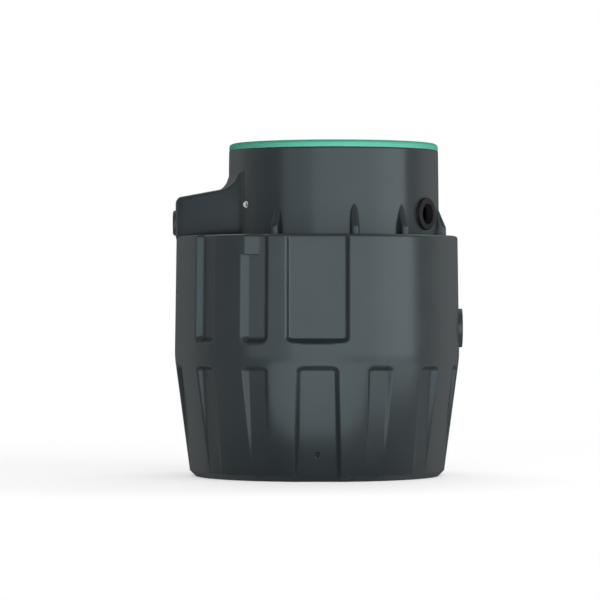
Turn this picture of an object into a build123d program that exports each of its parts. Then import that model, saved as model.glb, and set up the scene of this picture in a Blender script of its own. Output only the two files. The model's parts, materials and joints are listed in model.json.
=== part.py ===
from build123d import *
import os
from math import atan2, cos, degrees, hypot, radians, sin, tan

os.makedirs("parts", exist_ok=True)

# Buried sewage pumping station: a moulded round tank with an off-centre neck, a screwed lid,
# a low inlet on its right side and a pressure outlet in a housing on the left of the neck.
# Azimuths are in degrees, seen from above: 0 is the front (-Y), 90 the right side (+X).

# Driving dimensions in millimetres and degrees
wall = 8.0
fit_gap = 0.3

# Tank body, outside radii from the base up
base_radius = 365.4
foot_radius = 382.6
foot_height = 17.0
belly_radius = 429.4
belly_height = 370.0
shoulder_radius = 424.2
shoulder_height = 722.0
shoulder_fillet = 7.0
seam_height = 376.0

# Recesses moulded into the body, spaced evenly round it
recess_count = 14
recess_depth = 18.0
recess_width = 88.0
recess_flare = 45.0
recess_corner = 12.0
lower_recess_top = 365.0
lower_recess_foot = 27.0
lower_recess_fade = 2.0
upper_recess_foot = 403.0
wide_recess_width = 201.0
wide_recess_depth = 12.0
panel_top_width = 134.0
panel_foot_width = 168.0
panel_depth = 14.0
panel_lean = 7.0
dimple_radius = 6.5
dimple_height = 80.0
dimple_depth = 4.0
block_face = 372.0
block_height = 60.0

# Neck, set off towards the right of the body's axis
neck_offset = 50.0
neck_foot_radius = 318.5
neck_top_radius = 315.5
neck_top = 979.0
rim_fillet = 4.0
rim_width = 32.0
rim_height = 18.0

# Ribs that brace the neck on the shoulder
gusset_width = 29.0
gusset_depth = 19.0
gusset_height = 90.0
gusset_straight = 25.0
gusset_azimuths = (-32.0, 10.4, 38.6, 75.0)

# Lid and its screws
lid_radius = 312.0
lid_height = 21.0
lid_fillet = 7.0
lid_plate = 6.0
lid_rib_count = 6
lid_rib_width = 8.0
lid_rib_height = 11.0
lid_screw_count = 8
lid_screw_radius = 5.0
lid_screw_head_radius = 7.5
lid_screw_head_height = 6.0
lid_screw_length = 30.0

# Outlet housing on the left of the neck
housing_end = 425.5
housing_end_half_width = 62.0
housing_root = 223.0
housing_root_half_width = 160.0
housing_corner = 24.0
housing_end_top = 846.0
housing_slope = 11.7
housing_top_fillet = 15.0
housing_cove_start = 287.0
housing_cove_radius = 100.0
housing_cove_turn = 50.0

# Outlet and inlet sockets, with the pipes they take
outlet_height = 762.0
outlet_pipe_radius = 31.5
outlet_socket_radius = 38.0
outlet_socket_proud = 9.4
outlet_socket_chamfer = 4.0
inlet_height = 445.0
inlet_pipe_radius = 55.0
inlet_socket_radius = 58.5
inlet_socket_proud = 10.0
inlet_socket_chamfer = 1.5
socket_inside = 30.0

# Cable and vent entry in the front right of the neck
entry_azimuth = 58.5
entry_height = 785.0
entry_duct_radius = 31.5
entry_seal_radius = 48.0
entry_seal_neck = 40.0
entry_seal_proud = 9.0
entry_seal_inside = 6.0

# Bolts in the neck beside the housing
neck_bolt_azimuth = 55.0
neck_bolt_height = 813.0
neck_bolt_radius = 4.0
neck_bolt_length = 24.0
neck_bolt_head_radius = 7.5
neck_bolt_head_height = 5.3
neck_washer_radius = 10.0
neck_washer_height = 1.6

# Seams between the wall's sectors: recess steps round the body, azimuths round the neck
lower_seams = {
    "front": (-0.5, 1.5),
    "right_front": (1.5, 3.5),
    "right_rear": (3.5, 5.5),
    "rear": (5.5, 7.5),
    "left_rear": (7.5, 9.5),
    "left": (9.5, 11.5),
    "left_front": (11.5, 13.5),
}
upper_seams = {
    "front": (-1.5, 0.5),
    "right_front": (0.5, 2.5),
    "right": (2.5, 4.5),
    "right_rear": (4.5, 6.5),
    "rear": (6.5, 8.5),
    "left_rear": (8.5, 10.5),
    "left_front": (10.5, 12.5),
}
shoulder_seams = {"front": (-1.5, 1.5), "right": (1.5, 5.5), "rear": (5.5, 8.5), "left": (8.5, 12.5)}
neck_seams = {
    "front": (-58.0, 16.0),
    "right_front": (16.0, 90.0),
    "right_rear": (90.0, 164.0),
    "rear": (164.0, 238.0),
    "left": (238.0, 302.0),
}

# Sizes worked out from the driving dimensions
recess_pitch = 360.0 / recess_count
half_round = recess_count // 2
upper_steps = (0, half_round, half_round + 1, half_round + 2, recess_count - 2, recess_count - 1)
underside = shoulder_height - wall
rim_foot = neck_top - rim_height
lid_top = neck_top + lid_height
lid_screw_circle = lid_radius - lid_fillet - lid_screw_head_radius - 2 * fit_gap
base_slope = (foot_radius - base_radius) / foot_height
cone_slope = (belly_radius - foot_radius) / (belly_height - foot_height)
upper_slope = (belly_radius - shoulder_radius) / (shoulder_height - belly_height)
neck_slope = (neck_foot_radius - neck_top_radius) / (neck_top - shoulder_height)
flare_run = tan(radians(recess_flare))
narrow_floor = recess_width - 2 * recess_depth * flare_run
reach = 2 * belly_radius


def body_radius(height):
    """Outside radius of the body at a height."""
    if height < foot_height:
        return base_radius + base_slope * height
    if height < belly_height:
        return foot_radius + cone_slope * (height - foot_height)
    return belly_radius - upper_slope * (height - belly_height)


def neck_radius(height):
    """Outside radius of the neck at a height."""
    return neck_foot_radius - neck_slope * (height - shoulder_height)


def outward(azimuth):
    """Unit direction away from the axis at an azimuth."""
    return (sin(radians(azimuth)), -cos(radians(azimuth)), 0)


def section_plane(azimuth, centre=0.0):
    """Upright plane through an axis, its x axis pointing outward at an azimuth."""
    out = outward(azimuth)
    return Plane(origin=(centre, 0, 0), x_dir=out, z_dir=(out[1], -out[0], 0))


def facing_plane(azimuth, distance, height, lean=0.0, centre=0.0):
    """Plane that faces outward at an azimuth, its y axis up and leaning outward by lean."""
    out = outward(azimuth)
    flat = cos(radians(lean))
    return Plane(
        origin=(centre + distance * out[0], distance * out[1], height),
        x_dir=(-out[1], out[0], 0),
        z_dir=(out[0] * flat, out[1] * flat, -sin(radians(lean))),
    )


def recess(azimuth, low, high, floor_low, floor_high, width_low, width_high, grow):
    """Flared recess whose flat floor lies floor_low from the axis at low, floor_high at high.

    grow moves every face away from the recess, which gives the inside of the wall behind it.
    """
    lean = degrees(atan2(floor_high - floor_low, high - low))
    length = hypot(floor_high - floor_low, high - low)
    margin = grow * (1 - sin(radians(recess_flare))) / cos(radians(recess_flare))
    left_low = width_low / 2 + margin
    left_high = width_high / 2 + margin
    with BuildPart() as form:
        with BuildSketch(facing_plane(azimuth, floor_low - grow, low, lean)) as floor:
            with BuildLine():
                Polyline(
                    (-left_low, -margin),
                    (left_low, -margin),
                    (left_high, length + margin),
                    (-left_high, length + margin),
                    close=True,
                )
            make_face()
            fillet(floor.vertices(), recess_corner + margin)
        extrude(amount=4 * wall + grow, taper=-recess_flare)
    return form.part


def lower_recess(azimuth, grow):
    """A narrow recess in the cone, fading out at its foot."""
    return recess(
        azimuth,
        lower_recess_foot,
        lower_recess_top - recess_depth * flare_run,
        body_radius(lower_recess_foot) - lower_recess_fade,
        body_radius(lower_recess_top) - recess_depth,
        narrow_floor,
        narrow_floor,
        grow,
    )


def panel_recess(azimuth, grow):
    """The wide recess in the cone, which widens down to the base and runs out under it."""
    high = lower_recess_top - panel_depth * flare_run
    low = -4 * wall
    half_turn = panel_top_width / 2 / belly_radius
    floor_high = body_radius(lower_recess_top) * cos(half_turn) - panel_depth
    floor_low = floor_high - (high - low) * tan(radians(panel_lean))
    widening = (panel_foot_width - panel_top_width) / high
    floor_width = panel_top_width - 2 * panel_depth * flare_run
    return recess(
        azimuth,
        low,
        high,
        floor_low,
        floor_high,
        floor_width + widening * (high - low),
        floor_width,
        grow,
    )


def upper_recess(azimuth, width, depth, grow):
    """A recess above the plain band, open at the shoulder."""
    half_turn = width / 2 / belly_radius
    low = upper_recess_foot + depth * flare_run
    high = shoulder_height + 8 * wall
    floor_width = width - 2 * depth * flare_run
    return recess(
        azimuth,
        low,
        high,
        body_radius(low) * cos(half_turn) - depth,
        body_radius(high) * cos(half_turn) - depth,
        floor_width,
        floor_width,
        grow,
    )


def row_recess(upper, step, grow):
    """The recess at a step round the body, in the upper or the lower row."""
    wide = step % half_round == 0
    azimuth = step * recess_pitch
    if upper and wide:
        return upper_recess(azimuth, wide_recess_width, wide_recess_depth, grow)
    if upper:
        return upper_recess(azimuth, recess_width, recess_depth, grow)
    return panel_recess(azimuth, grow) if wide else lower_recess(azimuth, grow)


def row_recesses(upper, seams, grow):
    """The recesses of one row that lie between two seams."""
    steps = [step for step in range(-2, recess_count) if seams[0] < step < seams[1]]
    if upper:
        steps = [step for step in steps if step % recess_count in upper_steps]
    return [row_recess(upper, step, grow) for step in steps]


def body_form(inset, low, high, azimuth_from, azimuth_to, recesses):
    """A sector of the body's form, drawn in from its skin by inset, less its recesses."""
    turning_heights = (foot_height + inset / 2, belly_height)
    heights = [low, *(height for height in turning_heights if low < height < high), high]
    outline = [(body_radius(height) - inset, height) for height in heights]
    with BuildPart() as form:
        with BuildSketch(section_plane(azimuth_from)):
            with BuildLine():
                Polyline((0, low), *outline, (0, high), close=True)
            make_face()
        revolve(axis=Axis.Z, revolution_arc=azimuth_to - azimuth_from)
        for cut in recesses:
            add(cut, mode=Mode.SUBTRACT)
    return form.part


def neck_form(inset, low, high):
    """The neck's form between two heights, drawn in from its skin by inset."""
    with BuildPart() as form:
        with BuildSketch(section_plane(0, neck_offset)):
            with BuildLine():
                Polyline(
                    (0, low),
                    (neck_radius(low) - inset, low),
                    (neck_radius(high) - inset, high),
                    (0, high),
                    close=True,
                )
            make_face()
        revolve(axis=Axis((neck_offset, 0, 0), (0, 0, 1)))
    return form.part


def housing_form(side_inset, top_inset):
    """The outlet housing's form, running on into the neck, with its sides and top drawn in."""
    slope = radians(housing_slope)
    start_x = top_inset * sin(slope) - housing_cove_start
    end_z = housing_end_top - top_inset / cos(slope)
    start = (start_x, end_z + (housing_end + start_x) * tan(slope))
    radius = housing_cove_radius + top_inset
    arc = []
    for share in (0.5, 1.0):
        turn = slope + share * radians(housing_cove_turn)
        run = radius * (sin(turn) - sin(slope))
        arc.append((start[0] + run, start[1] + radius * (cos(slope) - cos(turn))))
    foot = shoulder_height - top_inset
    with BuildPart() as plan:
        with BuildSketch(Plane.XY.offset(shoulder_height)) as footprint:
            with BuildLine():
                Polyline(
                    (neck_offset, -housing_root_half_width),
                    (-housing_root, -housing_root_half_width),
                    (-housing_end, -housing_end_half_width),
                    (-housing_end, housing_end_half_width),
                    (-housing_root, housing_root_half_width),
                    (neck_offset, housing_root_half_width),
                    close=True,
                )
            make_face()
            fillet(footprint.vertices().group_by(Axis.X)[0], housing_corner)
            if side_inset:
                offset(amount=-side_inset, mode=Mode.REPLACE)
        extrude(amount=neck_top - shoulder_height)
    with BuildPart() as form:
        with BuildSketch(Plane.XZ) as profile:
            with BuildLine():
                Line((-housing_end, foot), (-housing_end, end_z))
                Line((-housing_end, end_z), start)
                ThreePointArc(start, arc[0], arc[1])
                Polyline(arc[1], (neck_offset, arc[1][1]), (neck_offset, foot), (-housing_end, foot))
            make_face()
            end_corner = profile.vertices().group_by(Axis.X)[0].sort_by(Axis.Y)[-1]
            fillet(end_corner, housing_top_fillet - top_inset / 2)
        extrude(amount=housing_root_half_width, both=True)
        add(plan.part, mode=Mode.INTERSECT)
    return form.part


def wall_sector(upper, seams, low, high):
    """Outer form of a sector of the wall, and the hollow inside it."""
    start = seams[0] * recess_pitch
    finish = seams[1] * recess_pitch
    skin = body_form(0, low, high, start, finish, row_recesses(upper, seams, 0))
    hollow = body_form(wall, low - 1, high + 1, start - 1, finish + 1, row_recesses(upper, seams, wall))
    return skin, hollow


def rod(plane, radius, length):
    """Round bar standing on a plane."""
    with BuildPart() as bar:
        with BuildSketch(plane):
            Circle(radius)
        extrude(amount=length)
    return bar.part


def hand_in(piece, name):
    """Names a finished piece and writes its file."""
    piece.part.label = name
    export_step(piece.part, f"parts/{name}.step")


# Round holes through the walls, each with a gap for what passes through
right = Plane(origin=(belly_radius - 8 * wall, 0, inlet_height), z_dir=(1, 0, 0))
inlet_hole = rod(right, inlet_socket_radius + fit_gap, 16 * wall)
left = Plane(origin=(-housing_end + 8 * wall, 0, outlet_height), z_dir=(-1, 0, 0))
outlet_hole = rod(left, outlet_socket_radius + fit_gap, 16 * wall)
entry_wall = facing_plane(entry_azimuth, neck_radius(entry_height), entry_height, centre=neck_offset)
entry_hole = rod(entry_wall.offset(-4 * wall), entry_seal_neck, 8 * wall)

# Floor of the tank, with the two wide panels running out through its edge
floor_recesses = [panel_recess(0, 0), panel_recess(180, 0)]
floor_form = body_form(0, 0, wall, 0, 360, floor_recesses)
with BuildPart() as tank_floor:
    add(floor_form)
hand_in(tank_floor, "tank_floor")

# Lower wall, in sectors that each hold two recesses
for place, seams in lower_seams.items():
    skin, hollow = wall_sector(False, seams, wall, seam_height)
    with BuildPart() as lower_wall:
        add(skin)
        add(hollow, mode=Mode.SUBTRACT)
        for step in (0, half_round):
            if seams[0] < step < seams[1]:
                panel = facing_plane(step * recess_pitch, base_radius, dimple_height, panel_lean)
                with BuildSketch(panel.offset(2 * wall)):
                    Circle(dimple_radius)
                extrude(amount=-3 * wall, mode=Mode.SUBTRACT)
    hand_in(lower_wall, f"lower_wall_{place}")

# Upper wall
for place, seams in upper_seams.items():
    skin, hollow = wall_sector(True, seams, seam_height, underside)
    with BuildPart() as upper_wall:
        add(skin)
        add(hollow, mode=Mode.SUBTRACT)
        if place == "right":
            add(inlet_hole, mode=Mode.SUBTRACT)
    hand_in(upper_wall, f"upper_wall_{place}")

# Shoulder plate with a rounded edge, open under the neck
neck_hollow = neck_form(wall, underside - 1, rim_foot)
upper_row = [row_recess(True, step, 0) for step in upper_steps]
shoulder_disc = body_form(0, underside, shoulder_height, 0, 360, [])
with BuildPart() as shoulder:
    add(shoulder_disc)
    fillet(shoulder.edges().filter_by(GeomType.CIRCLE).group_by(Axis.Z)[-1], shoulder_fillet)
    add(neck_hollow, mode=Mode.SUBTRACT)
    for cut in upper_row:
        add(cut, mode=Mode.SUBTRACT)
for place, seams in shoulder_seams.items():
    start = seams[0] * recess_pitch
    finish = seams[1] * recess_pitch
    quarter = body_form(-wall, underside - wall, shoulder_height + wall, start, finish, [])
    with BuildPart() as shoulder_part:
        add(shoulder.part)
        add(quarter, mode=Mode.INTERSECT)
    hand_in(shoulder_part, f"shoulder_{place}")

# Blocks that fill the tops of two recesses, with flat faces to the front and the rear
block_recesses = [row_recess(True, step, 0) for step in (half_round + 1, recess_count - 1)]
block_skin = body_form(0, shoulder_height - block_height, shoulder_height, 0, 360, [])
with BuildPart() as shoulder_blocks:
    for cut in block_recesses:
        add(cut)
    add(block_skin, mode=Mode.INTERSECT)
    with BuildSketch(Plane.XY.offset(shoulder_height - block_height)):
        Rectangle(2 * reach, 2 * block_face)
    extrude(amount=block_height, mode=Mode.INTERSECT)
hand_in(shoulder_blocks, "shoulder_blocks")

# Neck wall, in sectors, open into the housing on its left
housing_skin = housing_form(0, 0)
housing_hollow = housing_form(wall, wall)
neck_skin = neck_form(0, shoulder_height, rim_foot)
bolt_faces = []
for azimuth in (-neck_bolt_azimuth, 180 + neck_bolt_azimuth):
    distance = neck_radius(neck_bolt_height)
    bolt_faces.append(facing_plane(azimuth, distance, neck_bolt_height, centre=neck_offset))
for place, turns in neck_seams.items():
    with BuildPart() as wedge:
        with BuildSketch(section_plane(turns[0], neck_offset)):
            Rectangle(reach, 2 * neck_top, align=(Align.MIN, Align.MIN))
        revolve(axis=Axis((neck_offset, 0, 0), (0, 0, 1)), revolution_arc=turns[1] - turns[0])
    with BuildPart() as neck_wall:
        add(neck_skin)
        add(neck_hollow, mode=Mode.SUBTRACT)
        add(wedge.part, mode=Mode.INTERSECT)
        if place == "left":
            add(housing_hollow, mode=Mode.SUBTRACT)
        if place == "right_front":
            add(entry_hole, mode=Mode.SUBTRACT)
        if place in ("front", "rear"):
            for face in bolt_faces:
                add(rod(face.offset(-2 * wall), neck_bolt_radius + fit_gap, 4 * wall), mode=Mode.SUBTRACT)
    hand_in(neck_wall, f"neck_wall_{place}")

# Rim ring under the lid
with BuildPart() as neck_rim:
    add(neck_form(0, rim_foot, neck_top))
    fillet(neck_rim.edges().filter_by(GeomType.CIRCLE).group_by(Axis.Z)[-1], rim_fillet)
    add(neck_form(rim_width, rim_foot - 1, neck_top + 1), mode=Mode.SUBTRACT)
    with BuildSketch(Plane.XY.offset(neck_top)):
        with Locations((neck_offset, 0)):
            with PolarLocations(lid_screw_circle, lid_screw_count, start_angle=180 / lid_screw_count):
                Circle(lid_screw_radius + fit_gap)
    extrude(amount=-rim_height, mode=Mode.SUBTRACT)
hand_in(neck_rim, "neck_rim")

# Ribs between the neck and the shoulder
for side in ("front", "rear"):
    with BuildPart() as gussets:
        for azimuth in gusset_azimuths:
            turned = azimuth if side == "front" else 180 - azimuth
            with BuildSketch(section_plane(turned, neck_offset)):
                with BuildLine():
                    Polyline(
                        (neck_top_radius - wall, shoulder_height),
                        (neck_foot_radius + gusset_depth, shoulder_height),
                        (neck_foot_radius + gusset_depth, shoulder_height + gusset_straight),
                        (neck_radius(shoulder_height + gusset_height), shoulder_height + gusset_height),
                        (neck_top_radius - wall, shoulder_height + gusset_height),
                        close=True,
                    )
                make_face()
            extrude(amount=gusset_width / 2, both=True)
        add(neck_skin, mode=Mode.SUBTRACT)
    hand_in(gussets, f"neck_gussets_{side}")

# Outlet housing: end wall with the socket's hole, top and two side walls
side_start = 1.5 * housing_corner - housing_end
end_half = 2 * housing_root_half_width
with BuildPart() as housing_end_wall:
    add(housing_skin)
    add(housing_hollow, mode=Mode.SUBTRACT)
    with BuildSketch(Plane.YZ.offset(side_start)):
        Rectangle(end_half, 2 * neck_top)
    extrude(amount=-reach, mode=Mode.INTERSECT)
    add(outlet_hole, mode=Mode.SUBTRACT)
hand_in(housing_end_wall, "housing_end_wall")

with BuildPart() as housing_top:
    add(housing_skin)
    add(housing_form(0, wall), mode=Mode.SUBTRACT)
    add(neck_skin, mode=Mode.SUBTRACT)
    with BuildSketch(Plane.YZ.offset(side_start)):
        Rectangle(end_half, 2 * neck_top)
    extrude(amount=reach, mode=Mode.INTERSECT)
hand_in(housing_top, "housing_top")

for side, facing in (("front", -1), ("rear", 1)):
    with BuildPart() as housing_side:
        add(housing_form(0, wall))
        add(housing_hollow, mode=Mode.SUBTRACT)
        add(neck_skin, mode=Mode.SUBTRACT)
        with BuildSketch(Plane.YZ.offset(side_start)):
            with Locations((facing * end_half / 2, 0)):
                Rectangle(end_half, 2 * neck_top)
        extrude(amount=reach, mode=Mode.INTERSECT)
    hand_in(housing_side, f"housing_wall_{side}")

# Outlet socket through the end wall
outlet_mouth = Plane(origin=(-housing_end - outlet_socket_proud, 0, outlet_height), z_dir=(-1, 0, 0))
with BuildPart() as outlet_socket:
    with BuildSketch(outlet_mouth):
        Circle(outlet_socket_radius)
    extrude(amount=-(outlet_socket_proud + wall + socket_inside))
    chamfer(outlet_socket.edges().group_by(Axis.X)[0], outlet_socket_chamfer)
    with BuildSketch(outlet_mouth):
        Circle(outlet_pipe_radius)
    extrude(amount=-(outlet_socket_proud + wall + socket_inside), mode=Mode.SUBTRACT)
hand_in(outlet_socket, "outlet_socket")

# Inlet socket through the upper wall
inlet_face = body_radius(inlet_height) + inlet_socket_proud
inlet_mouth = Plane(origin=(inlet_face, 0, inlet_height), z_dir=(1, 0, 0))
with BuildPart() as inlet_socket:
    with BuildSketch(inlet_mouth):
        Circle(inlet_socket_radius)
    extrude(amount=-(inlet_socket_proud + wall + socket_inside))
    chamfer(inlet_socket.edges().group_by(Axis.X)[-1], inlet_socket_chamfer)
    with BuildSketch(inlet_mouth):
        Circle(inlet_pipe_radius)
    extrude(amount=-(inlet_socket_proud + wall + socket_inside), mode=Mode.SUBTRACT)
hand_in(inlet_socket, "inlet_socket")

# Rubber seal in the neck's round hole, gripping the wall from both sides
with BuildPart() as entry_ring:
    add(neck_skin)
    add(neck_hollow, mode=Mode.SUBTRACT)
    add(entry_hole, mode=Mode.SUBTRACT)
entry_grip = entry_ring.part
with BuildPart() as entry_seal:
    with BuildSketch(entry_wall.offset(entry_seal_proud)) as seal_face:
        Circle(entry_seal_radius)
    extrude(amount=-(entry_seal_proud + wall + entry_seal_inside))
    fillet(entry_seal.edges().filter_by(GeomType.CIRCLE), entry_seal_proud / 4)
    add(entry_grip, mode=Mode.SUBTRACT)
    with BuildSketch(entry_wall.offset(entry_seal_proud)):
        Circle(entry_duct_radius)
    extrude(amount=-(entry_seal_proud + wall + entry_seal_inside), mode=Mode.SUBTRACT)
hand_in(entry_seal, "entry_seal")

# Bolts and washers beside the housing
with BuildPart() as neck_washers:
    for face in bolt_faces:
        with BuildSketch(face):
            Circle(neck_washer_radius)
            Circle(neck_bolt_radius + fit_gap, mode=Mode.SUBTRACT)
        extrude(amount=neck_washer_height)
    add(neck_skin, mode=Mode.SUBTRACT)
hand_in(neck_washers, "neck_washers")
with BuildPart() as neck_bolts:
    for face in bolt_faces:
        with BuildSketch(face.offset(neck_washer_height)):
            RegularPolygon(neck_bolt_head_radius, 6)
        extrude(amount=neck_bolt_head_height)
        with BuildSketch(face.offset(neck_washer_height)):
            Circle(neck_bolt_radius)
        extrude(amount=-neck_bolt_length)
hand_in(neck_bolts, "neck_bolts")

# Lid: a plate with a deep rim, ribbed underneath
hollow_radius = neck_top_radius - rim_width - wall
with BuildPart() as lid:
    with BuildSketch(Plane.XY.offset(neck_top)):
        with Locations((neck_offset, 0)):
            Circle(lid_radius)
    extrude(amount=lid_height)
    fillet(lid.edges().group_by(Axis.Z)[-1], lid_fillet)
    with BuildSketch(Plane.XY.offset(neck_top)):
        with Locations((neck_offset, 0)):
            Circle(hollow_radius)
    extrude(amount=lid_height - lid_plate, mode=Mode.SUBTRACT)
    with BuildSketch(Plane.XY.offset(lid_top - lid_plate)):
        with Locations((neck_offset, 0)):
            with PolarLocations(0, lid_rib_count // 2, angular_range=180):
                Rectangle(2 * hollow_radius + wall, lid_rib_width)
    extrude(amount=-lid_rib_height)
    with Locations((neck_offset, 0, lid_top)):
        with PolarLocations(lid_screw_circle, lid_screw_count, start_angle=180 / lid_screw_count):
            CounterBoreHole(
                lid_screw_radius + fit_gap,
                lid_screw_head_radius + fit_gap,
                lid_screw_head_height,
                lid_height,
            )
hand_in(lid, "lid")

with BuildPart() as lid_screws:
    with BuildSketch(Plane.XY.offset(lid_top - lid_screw_head_height)):
        with Locations((neck_offset, 0)):
            with PolarLocations(lid_screw_circle, lid_screw_count, start_angle=180 / lid_screw_count):
                Circle(lid_screw_head_radius)
    extrude(amount=lid_screw_head_height - fit_gap)
    with BuildSketch(Plane.XY.offset(lid_top - lid_screw_head_height)):
        with Locations((neck_offset, 0)):
            with PolarLocations(lid_screw_circle, lid_screw_count, start_angle=180 / lid_screw_count):
                Circle(lid_screw_radius)
    extrude(amount=-lid_screw_length)
hand_in(lid_screws, "lid_screws")
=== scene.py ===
import json
from math import acos, atan2, cos, hypot, pi, radians, sin, sqrt, tan

import bmesh
import bpy
import numpy as np
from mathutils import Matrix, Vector


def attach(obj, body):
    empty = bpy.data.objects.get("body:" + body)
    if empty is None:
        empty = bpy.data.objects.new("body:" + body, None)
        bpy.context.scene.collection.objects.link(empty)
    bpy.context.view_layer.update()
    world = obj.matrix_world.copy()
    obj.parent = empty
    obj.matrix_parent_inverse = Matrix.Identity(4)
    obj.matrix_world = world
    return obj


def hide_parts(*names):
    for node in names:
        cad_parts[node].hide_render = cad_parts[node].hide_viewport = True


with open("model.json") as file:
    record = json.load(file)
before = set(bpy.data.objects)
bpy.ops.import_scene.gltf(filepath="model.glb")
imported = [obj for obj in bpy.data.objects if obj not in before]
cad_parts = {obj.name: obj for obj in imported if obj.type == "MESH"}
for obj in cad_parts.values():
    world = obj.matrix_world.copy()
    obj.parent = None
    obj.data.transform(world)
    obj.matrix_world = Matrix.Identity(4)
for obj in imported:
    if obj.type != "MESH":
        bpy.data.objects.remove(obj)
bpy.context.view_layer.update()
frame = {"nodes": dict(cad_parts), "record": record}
nodes = frame["nodes"]

# Camera. The size, axis, horizon and focal length are in pixels of the photograph, the distance and
# the height of the eye in metres, and the sensor in millimetres.
PICTURE_SIZE = 600
AXIS_COLUMN = 317.0
HORIZON_ROW = 303.0
CAMERA_DISTANCE = 9.7
FOCAL_PIXELS = 3210.0
EYE_HEIGHT = 0.5205
SENSOR = 36.0

# Light: the fill from all round, upright panels as azimuth, elevation and radiance, and cards on
# the floor as x, y, width, depth and radiance
FILL = 0.22
PANELS = ((-38, 5, 1.9), (-4, 5, 3.6), (30, 5, 3.8), (64, 5, 4.7), (150, 50, 2.7), (210, 50, 2.7))
PANEL_AIM = 0.5
PANEL_DISTANCE = 4.0
PANEL_WIDTH = 2.45
PANEL_HEIGHT = 1.7
CARDS = ((0, -2.1, 2.2, 2.8, 3.4), (1.85, -1.25, 1.9, 1.9, 3.0))
CARD_HEIGHT = 0.02

# Floor: its colour, its lift to the eye, and where it fades into the background
FLOOR_HALF = 60.0
FLOOR_COLOR = 0.8
FLOOR_LIFT = 0.45
FADE_START = 0.9
FADE_END = 3.0

# Materials: the part of a noise's range that they use, how much fine detail it has, and how they
# turn duller towards grazing angles, from a share of the way on and by a roughness
NOISE_LOW = 0.3
NOISE_HIGH = 0.7
MOTTLE_DETAIL = 4.0
MOTTLE_ROUGHNESS = 0.55
GRAIN_DETAIL = 2.0
GRAZING_START = 0.3
GRAZING_DULL = 0.6

# Looks of the material slots. Colours are linear, and the grain is its scale and its depth.
LOOKS = {
    "tank_plastic": {
        "colors": ((0.011, 0.0142, 0.0150), (0.0148, 0.0185, 0.0194)),
        "roughness": (0.2, 0.25),
        "scale": 5.0,
        "grain": (260.0, 0.00006),
        "specular": 0.22,
        "tint": (0.74, 0.91, 1.0),
    },
    "socket_plastic": {
        "colors": ((0.014, 0.017, 0.018), (0.019, 0.023, 0.024)),
        "roughness": (0.3, 0.38),
        "scale": 9.0,
        "grain": (320.0, 0.00004),
        "specular": 0.28,
        "tint": (0.78, 0.92, 1.0),
    },
    "lid_plastic": {
        "colors": ((0.048, 0.255, 0.18), (0.061, 0.29, 0.205)),
        "roughness": (0.5, 0.6),
        "scale": 6.0,
        "grain": (300.0, 0.00005),
        "specular": 0.2,
    },
    "seal_rubber": {
        "colors": ((0.005, 0.005, 0.006), (0.009, 0.009, 0.010)),
        "roughness": (0.5, 0.62),
        "scale": 20.0,
        "grain": (500.0, 0.00006),
        "specular": 0.12,
    },
    "steel": {
        "colors": ((0.52, 0.52, 0.51), (0.66, 0.66, 0.65)),
        "roughness": (0.22, 0.34),
        "scale": 60.0,
        "grain": (900.0, 0.00002),
        "metallic": 1.0,
        "stretch": (1, 1, 6),
    },
}

# The tank's body. All sizes are in metres, and azimuths in degrees from the front (-Y) towards the
# right (+X).
WALL = 0.008
BODY_THICKNESS = 0.033
BASE_RADIUS = 0.3668
FOOT_RADIUS = 0.384
FOOT_HEIGHT = 0.017
BELLY_RADIUS = 0.4294
BELLY_HEIGHT = 0.358
BELLY_SOFTNESS = 0.003
SHOULDER_RADIUS = 0.4242
SHOULDER_HEIGHT = 0.722
SHOULDER_FILLET = 0.009
SEAM_HEIGHT = 0.376
INLET_HEIGHT = 0.445
INLET_RADIUS = 0.0583
INLET_START = 0.35
INLET_LENGTH = 0.12

# Recesses, in equal steps round the body. The front one and the rear one, half a round apart, are
# wide. A flare is a flank's run over its rise, and an end at BELOW_ALL or ABOVE_ALL is open.
STEPS = 14
HALF_ROUND = 7
PITCH = 360 / STEPS
BLOCKED_REAR = 8
BLOCKED_FRONT = 13
OPEN_UPPER = (9, 12)
FLARE = 0.9
TOP_FLARE = 0.6
CORNER = 0.007
SOFTNESS = 0.0034
NARROW_FLOOR = 0.0278
NARROW_DEPTH = 0.018
NARROW_HALF_WIDTH = 0.044
PANEL_DEPTH = 0.017
PANEL_HALF_WIDTH = 0.064
PANEL_HALF_FOOT = 0.071
PANEL_LEAN = 8.1
WIDE_DEPTH = 0.015
WIDE_HALF_WIDTH = 0.094
WIDE_FOOT = 0.4175
WIDE_FOOT_FLARE = 0.6
WIDE_SPREAD = 16.0
LOWER_TOP = 0.3365
LOWER_FOOT = 0.027
UPPER_FOOT = 0.403
BELOW_ALL = -1.0
ABOVE_ALL = 2.0
DIMPLE_HEIGHT = 0.080
DIMPLE_RADIUS = 0.0065
DIMPLE_EDGE = 0.0016
DIMPLE_DEPTH = 0.008
BLOCK_FACE = 0.3682
BLOCK_FOOT = 0.662
BLOCK_EDGE = 0.001

# The body's grid: columns from the middle of a recess outwards, first on its floor, then close
# together over its flank and lip, and rows as spans of height, close together where forms end
DIMPLE_COLUMNS = np.array((0, 1.3, 2.6, 3.9, 5, 5.8, 6.4, 7, 7.8, 9)) / 1000
FLOOR_SHARES = (0.45, 0.75)
FLANK_COLUMNS = np.array((-7, -5, -3.5, -2, -0.5, 1, 3, 6, 9, 12, 14, 15.5, 17, 18.5, 20, 22, 25)) / 1000
COLUMN_GAP = 0.0005
REST_SHARES = (0.5, 1.0)
ROW_SPANS = (
    (0, 0.017, 5),
    (0.02, 0.062, 15),
    (0.066, 0.094, 15),
    (0.11, 0.305, 13),
    (0.312, 0.345, 14),
    (0.35, 0.395, 10),
    (0.398, 0.43, 12),
    (0.445, 0.655, 12),
)
BLOCK_ROWS = (0.6612, 0.6622, 0.6632, 0.672, 0.69)

# Turns in degrees of the rows that round an edge over
EDGE_TURNS = (15, 30, 45, 60, 75)

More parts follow.
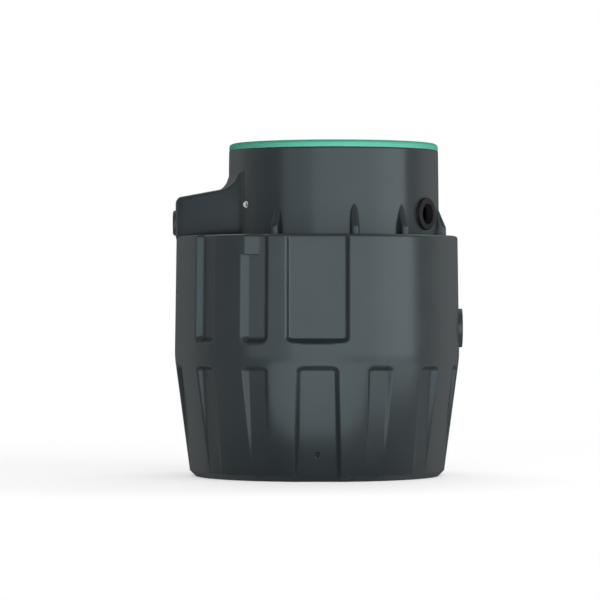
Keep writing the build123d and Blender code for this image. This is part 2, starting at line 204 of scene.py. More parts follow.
# Neck and its ribs
NECK_CENTRE = 0.05
NECK_FOOT_RADIUS = 0.3185
NECK_TAPER = 0.003
NECK_HEIGHT = 0.257
NECK_SLOPE = NECK_TAPER / NECK_HEIGHT
RIB_AZIMUTHS = (-32.0, 10.4, 38.6, 78.0)
RIB_HALF_WIDTH = 0.0125
RIB_DEPTH = 0.0256
RIB_UPRIGHT = 0.025
RIB_HEIGHT = 0.087
RIB_BACK = 0.006
RIB_NOSE_BACK = 0.0055
RIB_SUNK = 0.002
RIB_FIRST_ROW = 0.01
RIB_LEAN_START = 0.004
RIB_ROWS = 14
RIB_COLUMNS = 19

# Outlet housing
HOUSING_END = -0.4255
HOUSING_END_HALF = 0.062
HOUSING_ROOT = -0.15
HOUSING_ROOT_HALF = 0.1953
HOUSING_CORNER = 0.024
HOUSING_TOP = 0.837
HOUSING_SLOPE = 9.4
HOUSING_LIP = 0.010
HOUSING_END_LIP = 0.0235
HOUSING_COVE = 0.042
HOUSING_COVE_SHARE = 0.8
HOUSING_CREASE = 0.03
HOUSING_NECK = 0.3175
HOUSING_ROOT_SUNK = 0.005
HOUSING_EDGE_SUNK = 0.002
HOUSING_FOOT = 0.708
HOUSING_FOOT_INSET = 0.003
HOUSING_JOIN = 0.001
HOUSING_END_ROWS = 6
HOUSING_CORNER_ROWS = 9
HOUSING_SIDE_ROWS = 13
HOUSING_CREASE_ROWS = 7
HOUSING_COVE_ROWS = 9
OUTLET_HEIGHT = 0.762
OUTLET_RADIUS = 0.0378
OUTLET_START = -0.45
OUTLET_LENGTH = 0.15

# Lid and the seats of its screws
LID_RADIUS = 0.315
LID_FOOT = 0.979
LID_TOP = 1.0
LID_EDGE_RUN = 0.013
LID_EDGE_RISE = 0.011
LID_FOOT_RUN = 0.02
LID_FOOT_BEVEL = 0.001
LID_FLAT_RUN = 0.1
LID_COLUMNS = 180
LID_EDGE_ROWS = 14
SCREW_COUNT = 8
SCREW_CIRCLE = 0.2971
SCREW_HEAD_RADIUS = 0.0079
SCREW_HEAD_FOOT = 0.994
SCREW_HEAD_CUT = 0.02
SCREW_HOLE_RADIUS = 0.0053
SCREW_HOLE_START = 0.005
SCREW_HOLE_CUT = 0.023

SHARP_ANGLE = radians(35)
BORE_SIDES = 96
WELD = 1e-5


def make_camera():
    """Level camera straight in front, its centre where the photograph's centre is."""
    metres_per_pixel = CAMERA_DISTANCE / FOCAL_PIXELS
    data = bpy.data.cameras.new("camera")
    data.sensor_width = SENSOR
    data.lens = SENSOR * FOCAL_PIXELS / PICTURE_SIZE
    camera = bpy.data.objects.new("camera", data)
    bpy.context.scene.collection.objects.link(camera)
    across = (PICTURE_SIZE / 2 - AXIS_COLUMN) * metres_per_pixel
    up = EYE_HEIGHT + (HORIZON_ROW - PICTURE_SIZE / 2) * metres_per_pixel
    camera.location = (across, -CAMERA_DISTANCE, up)
    camera.rotation_euler = (radians(90), 0, 0)
    bpy.context.scene.camera = camera


def make_world():
    """Soft fill from all round, seen as plain white by the camera and in reflections."""
    world = bpy.data.worlds.new("studio")
    bpy.context.scene.world = world
    world.use_nodes = True
    tree = world.node_tree
    tree.nodes.clear()
    output = tree.nodes.new("ShaderNodeOutputWorld")
    mix = tree.nodes.new("ShaderNodeMixShader")
    fill = tree.nodes.new("ShaderNodeBackground")
    white = tree.nodes.new("ShaderNodeBackground")
    fill.inputs["Color"].default_value = (1, 1, 1, 1)
    fill.inputs["Strength"].default_value = FILL
    white.inputs["Color"].default_value = (1, 1, 1, 1)
    white.inputs["Strength"].default_value = 1.0
    link = tree.links.new
    link(seen_directly(tree), mix.inputs[0])
    link(fill.outputs[0], mix.inputs[1])
    link(white.outputs[0], mix.inputs[2])
    link(mix.outputs[0], output.inputs[0])


def seen_directly(tree):
    """1 for camera, glossy and transmission rays, 0 for the rays that light things."""
    path = tree.nodes.new("ShaderNodeLightPath")
    seen = tree.nodes.new("ShaderNodeMath")
    seen.operation = "MAXIMUM"
    through = tree.nodes.new("ShaderNodeMath")
    through.operation = "MAXIMUM"
    tree.links.new(path.outputs["Is Camera Ray"], seen.inputs[0])
    tree.links.new(path.outputs["Is Glossy Ray"], seen.inputs[1])
    tree.links.new(seen.outputs[0], through.inputs[0])
    tree.links.new(path.outputs["Is Transmission Ray"], through.inputs[1])
    return through.outputs[0]


def soft_light(name, place, direction, width, height, radiance, shape="RECTANGLE"):
    """Lamp of a size and brightness at a place, shining against a direction, unseen by the camera."""
    data = bpy.data.lights.new(name, "AREA")
    data.shape = shape
    data.size = width
    data.size_y = height
    area = width * height
    if shape == "ELLIPSE":
        area *= pi / 4
    data.energy = radiance * pi * area
    lamp = bpy.data.objects.new(name, data)
    bpy.context.scene.collection.objects.link(lamp)
    lamp.location = place
    lamp.rotation_euler = direction.to_track_quat("Z", "Y").to_euler()
    lamp.visible_camera = False
    return lamp


def make_lights():
    """Upright soft panels round the front, two high ones behind and low cards in front."""
    middle = Vector((0, 0, PANEL_AIM))
    for azimuth, elevation, radiance in PANELS:
        flat = cos(radians(elevation))
        direction = Vector(
            (sin(radians(azimuth)) * flat, -cos(radians(azimuth)) * flat, sin(radians(elevation)))
        )
        place = middle + direction * PANEL_DISTANCE
        soft_light(f"panel_{azimuth}", place, direction, PANEL_WIDTH, PANEL_HEIGHT, radiance)
    for x, y, width, depth, radiance in CARDS:
        place = Vector((x, y, CARD_HEIGHT))
        soft_light("card", place, Vector((0, 0, -1)), width, depth, radiance, "ELLIPSE")


def make_floor():
    """Pale floor that keeps the shadow near the object and fades to the white background."""
    mesh = bpy.data.meshes.new("floor")
    corners = [(-1, -1), (1, -1), (1, 1), (-1, 1)]
    mesh.from_pydata([(x * FLOOR_HALF, y * FLOOR_HALF, 0) for x, y in corners], [], [(0, 1, 2, 3)])
    floor = bpy.data.objects.new("floor", mesh)
    bpy.context.scene.collection.objects.link(floor)
    material = bpy.data.materials.new("floor")
    material.use_nodes = True
    tree = material.node_tree
    tree.nodes.clear()
    link = tree.links.new
    output = tree.nodes.new("ShaderNodeOutputMaterial")
    matt = tree.nodes.new("ShaderNodeBsdfDiffuse")
    matt.inputs["Color"].default_value = (FLOOR_COLOR, FLOOR_COLOR, FLOOR_COLOR, 1)
    lift = tree.nodes.new("ShaderNodeEmission")
    lift.inputs["Strength"].default_value = FLOOR_LIFT
    near = tree.nodes.new("ShaderNodeAddShader")
    white = tree.nodes.new("ShaderNodeEmission")
    white.inputs["Strength"].default_value = 1.0
    place = tree.nodes.new("ShaderNodeTexCoord")
    distance = tree.nodes.new("ShaderNodeVectorMath")
    distance.operation = "LENGTH"
    fade = tree.nodes.new("ShaderNodeMapRange")
    fade.interpolation_type = "SMOOTHSTEP"
    fade.inputs["From Min"].default_value = FADE_START
    fade.inputs["From Max"].default_value = FADE_END
    blend = tree.nodes.new("ShaderNodeMixShader")
    lit = tree.nodes.new("ShaderNodeMixShader")
    plain_floor = tree.nodes.new("ShaderNodeBsdfDiffuse")
    plain_floor.inputs["Color"].default_value = (FLOOR_COLOR, FLOOR_COLOR, FLOOR_COLOR, 1)
    link(matt.outputs[0], near.inputs[0])
    link(lift.outputs[0], near.inputs[1])
    link(place.outputs["Object"], distance.inputs[0])
    link(distance.outputs["Value"], fade.inputs["Value"])
    link(fade.outputs["Result"], blend.inputs[0])
    link(near.outputs[0], blend.inputs[1])
    link(white.outputs[0], blend.inputs[2])
    link(seen_directly(tree), lit.inputs[0])
    link(plain_floor.outputs[0], lit.inputs[1])
    link(blend.outputs[0], lit.inputs[2])
    link(lit.outputs[0], output.inputs[0])
    mesh.materials.append(material)


def mottled(tree, shader, place, colors, roughness, scale):
    """Colour and roughness that wander slightly, as in moulded or rolled stock, duller at edges."""
    link = tree.links.new
    noise = tree.nodes.new("ShaderNodeTexNoise")
    noise.inputs["Scale"].default_value = scale
    noise.inputs["Detail"].default_value = MOTTLE_DETAIL
    noise.inputs["Roughness"].default_value = MOTTLE_ROUGHNESS
    ramp = tree.nodes.new("ShaderNodeValToRGB")
    ramp.color_ramp.elements[0].position = NOISE_LOW
    ramp.color_ramp.elements[0].color = (*colors[0], 1)
    ramp.color_ramp.elements[1].position = NOISE_HIGH
    ramp.color_ramp.elements[1].color = (*colors[1], 1)
    gloss = tree.nodes.new("ShaderNodeMapRange")
    gloss.inputs["From Min"].default_value = NOISE_LOW
    gloss.inputs["From Max"].default_value = NOISE_HIGH
    gloss.inputs["To Min"].default_value = roughness[0]
    gloss.inputs["To Max"].default_value = roughness[1]
    link(place.outputs["Object"], noise.inputs["Vector"])
    link(noise.outputs["Fac"], ramp.inputs["Fac"])
    link(noise.outputs["Fac"], gloss.inputs["Value"])
    link(ramp.outputs["Color"], shader.inputs["Base Color"])
    edge = tree.nodes.new("ShaderNodeLayerWeight")
    edge.inputs["Blend"].default_value = 0.5
    dull = tree.nodes.new("ShaderNodeMapRange")
    dull.inputs["From Min"].default_value = GRAZING_START
    dull.inputs["From Max"].default_value = 1.0
    dull.inputs["To Max"].default_value = GRAZING_DULL
    total = tree.nodes.new("ShaderNodeMath")
    total.operation = "ADD"
    link(edge.outputs["Facing"], dull.inputs["Value"])
    link(gloss.outputs["Result"], total.inputs[0])
    link(dull.outputs["Result"], total.inputs[1])
    link(total.outputs[0], shader.inputs["Roughness"])


def grained(tree, shader, place, scale, depth, stretch=(1, 1, 1)):
    """Fine relief of the surface, stretched along an axis where the stock is brushed or drawn."""
    link = tree.links.new
    spread = tree.nodes.new("ShaderNodeMapping")
    spread.inputs["Scale"].default_value = stretch
    noise = tree.nodes.new("ShaderNodeTexNoise")
    noise.inputs["Scale"].default_value = scale
    noise.inputs["Detail"].default_value = GRAIN_DETAIL
    bump = tree.nodes.new("ShaderNodeBump")
    bump.inputs["Strength"].default_value = 1.0
    bump.inputs["Distance"].default_value = depth
    link(place.outputs["Object"], spread.inputs["Vector"])
    link(spread.outputs["Vector"], noise.inputs["Vector"])
    link(noise.outputs["Fac"], bump.inputs["Height"])
    link(bump.outputs["Normal"], shader.inputs["Normal"])


def finish(
    name, colors, roughness, scale, grain, specular=0.5, tint=(1, 1, 1), metallic=0.0, stretch=(1, 1, 1)
):
    """Procedural material: two close colours, a band of roughness and a fine grain."""
    material = bpy.data.materials.new(name)
    material.use_nodes = True
    tree = material.node_tree
    shader = tree.nodes["Principled BSDF"]
    place = tree.nodes.new("ShaderNodeTexCoord")
    mottled(tree, shader, place, colors, roughness, scale)
    grained(tree, shader, place, *grain, stretch)
    shader.inputs["Specular IOR Level"].default_value = specular
    shader.inputs["Specular Tint"].default_value = (*tint, 1)
    shader.inputs["Metallic"].default_value = metallic
    return material


def soft_max(first, second, softness):
    """The larger of two surfaces, rounded where they meet."""
    near = np.maximum(softness - np.abs(first - second), 0) / softness
    return np.maximum(first, second) + near * near * softness / 4


def body_radius(height):
    """Outside radius of the tank's body at a height."""
    climb = (height - FOOT_HEIGHT) / (BELLY_HEIGHT - FOOT_HEIGHT)
    lower = FOOT_RADIUS + (BELLY_RADIUS - FOOT_RADIUS) * climb
    above = (height - BELLY_HEIGHT) / (SHOULDER_HEIGHT - BELLY_HEIGHT)
    upper = BELLY_RADIUS + (SHOULDER_RADIUS - BELLY_RADIUS) * above
    foot = BASE_RADIUS + (FOOT_RADIUS - BASE_RADIUS) * height / FOOT_HEIGHT
    return np.minimum(-soft_max(-lower, -upper, BELLY_SOFTNESS), foot)


def neck_radius(height):
    """Outside radius of the neck at a height."""
    return NECK_FOOT_RADIUS - NECK_SLOPE * (height - SHOULDER_HEIGHT)


def recess_depth(across, height, half_floor, foot, top, foot_flare):
    """How far a recess's flanks stand out from its floor, with rounded corners."""
    side = np.abs(across) - half_floor + CORNER
    end = np.maximum((foot - height) / foot_flare, (height - top) / TOP_FLARE) * FLARE + CORNER
    outside = np.hypot(np.maximum(side, 0), np.maximum(end, 0)) + np.minimum(np.maximum(side, end), 0)
    return (outside - CORNER) / FLARE


def sunk(skin, floor, flank):
    """A surface with a recess in it, its root and its lip rounded."""
    recess = soft_max(floor, floor + flank, SOFTNESS)
    return -soft_max(-skin, -recess, SOFTNESS)


# Each of these surfaces gives the distance from the axis along the direction in which a recess
# faces, at a place across that direction and at a height.


def plain(across, height):
    """The body's skin where it has no recess."""
    return np.sqrt(body_radius(height) ** 2 - across**2)


def narrow_lower(across, height):
    """A narrow recess in the cone, which runs out at the foot."""
    top = LOWER_TOP - NARROW_DEPTH * TOP_FLARE
    low = body_radius(LOWER_FOOT)
    rise = body_radius(LOWER_TOP) - NARROW_DEPTH - low
    floor = low + rise * (height - LOWER_FOOT) / (top - LOWER_FOOT)
    flank = recess_depth(across, height, NARROW_FLOOR, BELOW_ALL, top, FLARE)
    return sunk(plain(across, height), floor, flank)


def panel_half_floor(height):
    """Half the width of the lower panel's floor, which widens towards the foot."""
    top = LOWER_TOP - PANEL_DEPTH * TOP_FLARE
    widening = (PANEL_HALF_FOOT - PANEL_HALF_WIDTH) / top
    return PANEL_HALF_WIDTH - PANEL_DEPTH * FLARE + widening * (top - height)


def panel(across, height):
    """The wide recess in the cone, with a dimple low in its floor."""
    top = LOWER_TOP - PANEL_DEPTH * TOP_FLARE
    high = body_radius(LOWER_TOP) * cos(PANEL_HALF_WIDTH / BELLY_RADIUS) - PANEL_DEPTH
    floor = high - (top - height) * tan(radians(PANEL_LEAN))
    flank = recess_depth(across, height, panel_half_floor(height), BELOW_ALL, top, FLARE)
    from_dimple = np.hypot(across, height - DIMPLE_HEIGHT)
    dimple = np.clip((DIMPLE_RADIUS - from_dimple) / DIMPLE_EDGE + 0.5, 0, 1) * DIMPLE_DEPTH
    return sunk(plain(across, height), floor, flank) - dimple


def narrow_upper(across, height):
    """A narrow recess above the band, open at the shoulder."""
    floor = body_radius(height) * cos(NARROW_HALF_WIDTH / BELLY_RADIUS) - NARROW_DEPTH
    foot = UPPER_FOOT + NARROW_DEPTH * FLARE
    flank = recess_depth(across, height, NARROW_FLOOR, foot, ABOVE_ALL, FLARE)
    return sunk(plain(across, height), floor, flank)


def blocked(side):
    """A narrow upper recess whose top is filled by a block that faces squarely front or rear."""

    def surface(across, height):
        lean = radians(PITCH)
        face = (BLOCK_FACE - side * sin(lean) * across) / cos(lean)
        block = np.minimum(plain(across, height), face)
        recess = narrow_upper(across, height)
        above = np.clip((height - BLOCK_FOOT) / BLOCK_EDGE, 0, 1)
        return recess + (np.maximum(block, recess) - recess) * above

    return surface


def wide_upper(across, height):
    """The wide recess above the band."""
    floor = body_radius(height) * cos(WIDE_HALF_WIDTH / BELLY_RADIUS) - WIDE_DEPTH
    half_floor = WIDE_HALF_WIDTH - WIDE_DEPTH * FLARE
    flank = recess_depth(across, height, half_floor, WIDE_FOOT, ABOVE_ALL, WIDE_FOOT_FLARE)
    return sunk(plain(across, height), floor, flank)


def lower_surface(step):
    """Form of the body's wall below the seam at one of its steps round the axis."""
    return panel if step % HALF_ROUND == 0 else narrow_lower


def upper_surface(step):
    """Form of the body's wall above the seam at one of its steps round the axis."""
    if step % HALF_ROUND == 0:
        return wide_upper
    if step in (BLOCKED_REAR, BLOCKED_FRONT):
        return blocked(-1 if step == BLOCKED_REAR else 1)
    return narrow_upper if step in OPEN_UPPER else plain


def half_spread(step, side, share):
    """Half the angle of a sector on one side; the wide recesses above the seam take more."""
    if step % HALF_ROUND == 0:
        grown = WIDE_SPREAD
    elif (step + side) % HALF_ROUND == 0:
        grown = PITCH - WIDE_SPREAD
    else:
        grown = PITCH / 2
    return np.radians(PITCH / 2 + (grown - PITCH / 2) * share)


def half_columns(step, side, heights):
    """Places across half of a sector at each height, from its middle to its edge."""
    share = np.clip((heights - LOWER_TOP) / (UPPER_FOOT - LOWER_TOP), 0, 1)
    wide = step % HALF_ROUND == 0
    below = panel_half_floor(heights) if wide else NARROW_FLOOR + 0 * heights
    above = WIDE_HALF_WIDTH - WIDE_DEPTH * FLARE if wide else NARROW_FLOOR
    floor_edge = (below + (above - below) * share)[:, None]
    start = floor_edge + FLANK_COLUMNS[0]
    near = DIMPLE_COLUMNS if wide else np.zeros(1)
    inner = [near + 0 * start, *(start * floor_share for floor_share in FLOOR_SHARES)]
    edge = (body_radius(heights) * np.sin(half_spread(step, side, share)))[:, None]
    room = edge - COLUMN_GAP * np.arange(len(FLANK_COLUMNS), 0, -1)
    flank = np.minimum(floor_edge + FLANK_COLUMNS, room)
    rest = flank[:, -1:] + (edge - flank[:, -1:]) * np.array(REST_SHARES)
    return np.concatenate((*inner, flank, rest), 1)


def sector_points(step, heights):
    """Points of the body's outside over one step, without the last column, which the next one has."""
    left = -half_columns(step, -1, heights)[:, :0:-1]
    right = half_columns(step, 1, heights)[:, :-1]
    across = np.concatenate((left, right), 1)
    level = heights[:, None] + 0 * across
    below = lower_surface(step)(across, level)
    above = upper_surface(step)(across, level)
    out = np.where(level < SEAM_HEIGHT, below, above)
    azimuth = radians(step * PITCH)
    x = out * sin(azimuth) + across * cos(azimuth)
    y = -out * cos(azimuth) + across * sin(azimuth)
    return np.stack((x, y, level), 2)


def ring_points(flat, height):
    """A ring of points at a height, from their places in plan."""
    return np.concatenate((flat, np.full((len(flat), 1), height)), 1)


def body_rings():
    """Rings of the moulded body: up its outside, over the shoulder, into the neck and down inside."""
    spans = [np.linspace(*span) for span in ROW_SPANS]
    heights = np.concatenate((*spans, BLOCK_ROWS, (SHOULDER_HEIGHT - SHOULDER_FILLET,)))
    rings = list(np.concatenate([sector_points(step, heights) for step in range(STEPS)], 1))
    edge = rings[-1][:, :2]
    reach = np.linalg.norm(edge, axis=1)
    way = edge / reach[:, None]
    for turn in np.radians((*EDGE_TURNS, 90)):
        inward = SHOULDER_FILLET * (1 - cos(turn))
        height = SHOULDER_HEIGHT - SHOULDER_FILLET * (1 - sin(turn))
        rings.append(ring_points(way * (reach - inward)[:, None], height))
    neck_middle = NECK_FOOT_RADIUS - WALL / 2
    hole = NECK_CENTRE * way[:, 0] + np.sqrt(neck_middle**2 - (NECK_CENTRE * way[:, 1]) ** 2)
    halfway = (reach - SHOULDER_FILLET + hole) / 2
    rings.append(ring_points(way * halfway[:, None], SHOULDER_HEIGHT))
    rings.append(ring_points(way * hole[:, None], SHOULDER_HEIGHT))
    rings.append(ring_points(way * hole[:, None], SHOULDER_HEIGHT - WALL))
    for height in (SHOULDER_HEIGHT - WALL, BELLY_HEIGHT, FOOT_HEIGHT, WALL):
        rings.append(ring_points(way * (body_radius(height) - BODY_THICKNESS), height))
    return rings


def make_piece(name, points, faces):
    """Object from points and faces, shaded smooth up to an angle."""
    mesh = bpy.data.meshes.new(name)
    mesh.from_pydata(points, [], faces)
    mesh.shade_smooth()
    mesh.set_sharp_from_angle(angle=SHARP_ANGLE)
    piece = bpy.data.objects.new(name, mesh)
    bpy.context.scene.collection.objects.link(piece)
    return piece


def band_faces(base, rows, count):
    """Faces between rings of points that lie one after another from a base index on."""
    faces = []
    for row in range(rows - 1):
        low, high = base + row * count, base + (row + 1) * count
        faces += [(low + i, low + (i + 1) % count, high + (i + 1) % count, high + i) for i in range(count)]
    return faces


def closed_rings(name, rings, foot, head):
    """Closed mesh of rings with the same number of points, shut by a point at either end."""
    count = len(rings[0])
    points = np.concatenate((*rings, np.array((foot, head))))
    faces = band_faces(0, len(rings), count)
    last = (len(rings) - 1) * count
    first_point, last_point = len(points) - 2, len(points) - 1
    faces += [(first_point, (i + 1) % count, i) for i in range(count)]
    faces += [(last_point, last + i, last + (i + 1) % count) for i in range(count)]
    return make_piece(name, points.tolist(), faces)


def cut_bore(piece, place, way, radius, length):
    """Cut a round hole into a piece, from a place along a way."""
    turn = Vector((0, 0, 1)).rotation_difference(way)
    points = []
    for end in (0, length):
        for i in range(BORE_SIDES):
            angle = 2 * pi * i / BORE_SIDES
            around = Vector((radius * cos(angle), radius * sin(angle), end))
            points.append(tuple(place + turn @ around))
    faces = band_faces(0, 2, BORE_SIDES)
    faces += [tuple(range(BORE_SIDES))[::-1], tuple(range(BORE_SIDES, 2 * BORE_SIDES))]
    cutter = make_piece("cutter", points, faces)
    cut = piece.modifiers.new("bore", "BOOLEAN")
    cut.operation = "DIFFERENCE"
    cut.solver = "EXACT"
    cut.object = cutter
    graph = bpy.context.evaluated_depsgraph_get()
    piece.data = bpy.data.meshes.new_from_object(piece.evaluated_get(graph))
    piece.modifiers.clear()
    bpy.data.objects.remove(cutter)
    welded = bmesh.new()
    welded.from_mesh(piece.data)
    bmesh.ops.triangulate(welded, faces=welded.faces)
    bmesh.ops.dissolve_degenerate(welded, dist=WELD, edges=welded.edges)
    bmesh.ops.triangulate(welded, faces=welded.faces)
    welded.to_mesh(piece.data)
    welded.free()
    piece.data.name = piece.name
    piece.data.set_sharp_from_angle(angle=SHARP_ANGLE)


def rib_depth(height):
    """How far a rib stands out of the neck at a height above the shoulder."""
    return RIB_DEPTH * np.clip((RIB_HEIGHT - height) / (RIB_HEIGHT - RIB_UPRIGHT), 0, 1)


def add_rib(azimuth, points, faces):
    """Round-nosed rib against the neck, upright at its foot and then leaning in to nothing."""
    turns = np.radians(np.linspace(-90, 90, RIB_COLUMNS))
    out = np.array((sin(radians(azimuth)), -cos(radians(azimuth))))
    across = np.array((cos(radians(azimuth)), sin(radians(azimuth))))
    base = len(points)
    leaning = np.linspace(RIB_UPRIGHT - RIB_LEAN_START, RIB_HEIGHT + RIB_SUNK, RIB_ROWS)
    heights = np.concatenate(((-RIB_SUNK, RIB_FIRST_ROW), leaning))
    for height in heights:
        wall = neck_radius(SHOULDER_HEIGHT + height)
        nose = rib_depth(height) - RIB_HALF_WIDTH + RIB_HALF_WIDTH * np.cos(turns)
        nose = np.maximum(nose, -RIB_NOSE_BACK)
        reach = np.concatenate(((-RIB_BACK,), nose, (-RIB_BACK,))) + wall
        side = np.concatenate(((-RIB_HALF_WIDTH,), RIB_HALF_WIDTH * np.sin(turns), (RIB_HALF_WIDTH,)))
        plan = reach[:, None] * out + side[:, None] * across
        points += [(NECK_CENTRE + x, y, SHOULDER_HEIGHT + height) for x, y in plan]
    count = len(turns) + 2
    faces += band_faces(base, len(heights), count)
    last = base + (len(heights) - 1) * count
    faces.append(tuple(range(base, base + count))[::-1])
    faces.append(tuple(range(last, last + count)))


def make_ribs(name, turned):
    """The ribs of the neck's front, or of its rear."""
    points, faces = [], []
    for azimuth in RIB_AZIMUTHS:
        add_rib(180 - azimuth if turned else azimuth, points, faces)
    return make_piece(name, points, faces)


def housing_outline():
    """Rows of place, outward direction and share of the end, round the housing's walls in plan."""
    side = np.array((HOUSING_ROOT - HOUSING_END, HOUSING_ROOT_HALF - HOUSING_END_HALF))
    side = side / np.linalg.norm(side)
    normal = np.array((-side[1], side[0]))
    turn = atan2(normal[1], -normal[0])
    # Half of the end, then its corner's arc
    start = np.array((HOUSING_END, HOUSING_END_HALF))
    back = HOUSING_CORNER * tan(turn / 2)
    middle = np.array((HOUSING_END + HOUSING_CORNER, HOUSING_END_HALF - back))
    ahead = np.array((-1.0, 0.0))
    across_end = np.linspace(0, middle[1], HOUSING_END_ROWS)[:-1]
    rows = [(np.array((HOUSING_END, y)), ahead, 1.0) for y in across_end]
    for share in np.linspace(0, 1, HOUSING_CORNER_ROWS):
        way = np.array((-cos(turn * share), sin(turn * share)))
        rows.append((middle + HOUSING_CORNER * way, way, 1 - share))
    # The straight side, then the crease: a hollow arc that touches the side and the neck
    centre = np.array((NECK_CENTRE, 0))
    reach = HOUSING_NECK + HOUSING_CREASE
    onto = start + normal * HOUSING_CREASE - centre
    along = np.dot(onto, side)
    run = -along - sqrt(along * along - np.dot(onto, onto) + reach * reach)
    hollow = centre + onto + side * run
    touch = hollow - normal * HOUSING_CREASE
    first = rows[-1][0]
    shares = np.linspace(0, 1, HOUSING_SIDE_ROWS)[1:]
    rows += [(first + (touch - first) * share, normal, 0.0) for share in shares]
    to_neck = (centre - hollow) / reach
    sweep = acos(np.dot(-normal, to_neck))
    for share in np.linspace(0, 1, HOUSING_CREASE_ROWS)[1:]:
        angle = atan2(-normal[1], -normal[0]) + sweep * share
        way = np.array((cos(angle), sin(angle)))
        rows.append((hollow + HOUSING_CREASE * way, -way, 0.0))
    mirror = (1, -1)
    front = [(place * mirror, way * mirror, end) for place, way, end in rows[:0:-1]]
    return front + rows


def housing_top(place):
    """Height of the housing's sloping top, swept up in a cove against the neck."""
    plane = HOUSING_TOP + (place[0] - HOUSING_END) * tan(radians(HOUSING_SLOPE))
    away = hypot(place[0] - NECK_CENTRE, place[1]) - HOUSING_NECK
    into = HOUSING_COVE - min(max(away, 0), HOUSING_COVE)
    return plane + HOUSING_COVE - sqrt(HOUSING_COVE**2 - into**2)


def housing_loop(place, way, end):
    """One section of the housing: up its wall, over the lip, along the top and back in the neck."""
    centre = np.array((NECK_CENTRE, 0))
    lip = HOUSING_LIP + (HOUSING_END_LIP - HOUSING_LIP) * end
    inner = place - way * lip
    if np.linalg.norm(inner - centre) < HOUSING_NECK:
        inner = centre + (inner - centre) / np.linalg.norm(inner - centre) * HOUSING_NECK
    away = (inner - centre) / np.linalg.norm(inner - centre)
    root = centre + away * (HOUSING_NECK - HOUSING_ROOT_SUNK)
    loop = [
        (root, HOUSING_FOOT),
        (place - way * HOUSING_FOOT_INSET, HOUSING_FOOT),
        (place, SHOULDER_HEIGHT - HOUSING_JOIN),
    ]
    for share in (0.5, 1.0):
        loop.append((place, SHOULDER_HEIGHT + (housing_top(inner) - lip - SHOULDER_HEIGHT) * share))
    for turn in np.radians(EDGE_TURNS):
        spot = place + (inner - place) * (1 - cos(turn))
        loop.append((spot, housing_top(inner) - lip * (1 - sin(turn))))
    edge = centre + away * (HOUSING_NECK - HOUSING_EDGE_SUNK)
    cove = np.minimum(HOUSING_COVE / np.linalg.norm(inner - edge), HOUSING_COVE_SHARE)
    swept = 1 - cove * np.cos(np.radians(np.linspace(0, 90, HOUSING_COVE_ROWS)))
    for share in (0, (1 - cove) * 0.5, *swept):
        spot = inner + (edge - inner) * share
        loop.append((spot, housing_top(spot)))
    loop.append((root, housing_top(edge) + HOUSING_JOIN))
    return [(float(spot[0]), float(spot[1]), float(height)) for spot, height in loop]


def make_housing():
    """Outlet housing: its walls, rounded lip and sloping top, closed inside the neck's wall."""
    loops = [housing_loop(*row) for row in housing_outline()]
    points = [point for loop in loops for point in loop]
    count = len(loops[0])
    faces = []
    for row in range(len(loops) - 1):
        low, high = row * count, (row + 1) * count
        faces += [(low + i, high + i, high + (i + 1) % count, low + (i + 1) % count) for i in range(count)]
    last = (len(loops) - 1) * count
    faces.append(tuple(range(count)))
    faces.append(tuple(range(last, last + count))[::-1])
    return make_piece("outlet_housing", points, faces)


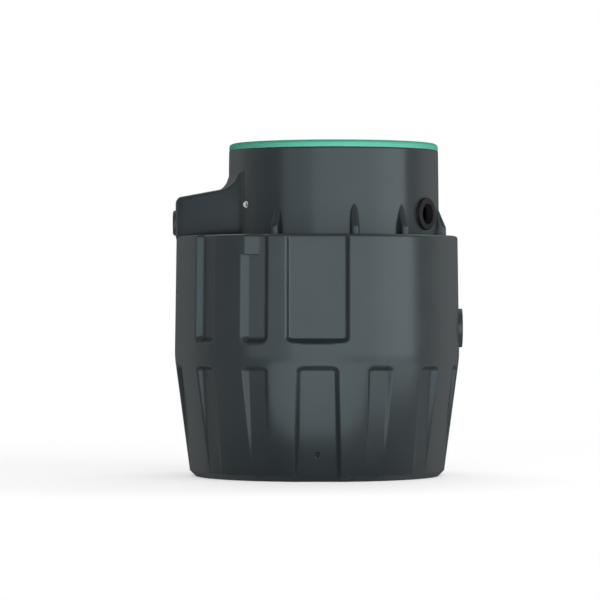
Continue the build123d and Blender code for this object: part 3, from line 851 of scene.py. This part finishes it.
def make_lid():
    """Lid with a short upright edge that rounds over into its flat top, and seats for its screws."""
    turns = np.radians(np.linspace(0, 360, LID_COLUMNS, endpoint=False))
    plan = np.stack((np.cos(turns), np.sin(turns)), 1)
    profile = [
        (LID_RADIUS - LID_FOOT_RUN, LID_FOOT),
        (LID_RADIUS - LID_FOOT_BEVEL, LID_FOOT),
        (LID_RADIUS, LID_FOOT + LID_FOOT_BEVEL),
    ]
    for turn in np.radians(np.linspace(0, 90, LID_EDGE_ROWS)):
        reach = LID_RADIUS - LID_EDGE_RUN * (1 - cos(turn))
        profile.append((reach, LID_TOP - LID_EDGE_RISE * (1 - sin(turn))))
    profile.append((LID_RADIUS - LID_FLAT_RUN, LID_TOP))
    rings = [ring_points(plan * reach + (NECK_CENTRE, 0), height) for reach, height in profile]
    lid = closed_rings("lid_cover", rings, (NECK_CENTRE, 0, LID_FOOT), (NECK_CENTRE, 0, LID_TOP))
    up = Vector((0, 0, 1))
    for index in range(SCREW_COUNT):
        turn = 2 * pi * (index + 0.5) / SCREW_COUNT
        place = Vector((NECK_CENTRE + SCREW_CIRCLE * cos(turn), SCREW_CIRCLE * sin(turn), 0))
        cut_bore(lid, place + up * SCREW_HEAD_FOOT, up, SCREW_HEAD_RADIUS, SCREW_HEAD_CUT)
        start = place + up * (LID_FOOT - SCREW_HOLE_START)
        cut_bore(lid, start, up, SCREW_HOLE_RADIUS, SCREW_HOLE_CUT)
    return lid


make_camera()
make_world()
make_floor()
make_lights()
materials = {slot: finish(slot, **look) for slot, look in LOOKS.items()}
slots = {entry["node"]: entry["material_slot"] for entry in frame["record"]["subparts"]}
for name, node in nodes.items():
    for slot in node.material_slots:
        slot.material = materials[slots[name]]

# The moulded pieces, each in place of the solids that it shows with their edges rounded
right = Vector((1, 0, 0))
tank = closed_rings("tank_body", body_rings(), (0, 0, 0), (0, 0, WALL))
cut_bore(tank, Vector((INLET_START, 0, INLET_HEIGHT)), right, INLET_RADIUS, INLET_LENGTH)
housing = make_housing()
cut_bore(housing, Vector((OUTLET_START, 0, OUTLET_HEIGHT)), right, OUTLET_RADIUS, OUTLET_LENGTH)
body_starts = ("lower_wall", "upper_wall", "shoulder_", "tank_floor")
for piece, slot, starts in (
    (tank, "tank_plastic", body_starts),
    (housing, "tank_plastic", "housing_"),
    (make_ribs("neck_ribs_front", False), "tank_plastic", "neck_gussets_front"),
    (make_ribs("neck_ribs_rear", True), "tank_plastic", "neck_gussets_rear"),
    (make_lid(), "lid_plastic", "lid"),
):
    names = [name for name in nodes if name.startswith(starts) and name != "lid_screws"]
    piece.data.materials.clear()
    piece.data.materials.append(materials[slot])
    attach(piece, "root")
    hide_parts(*names)
bpy.context.scene.view_settings.view_transform = "Standard"
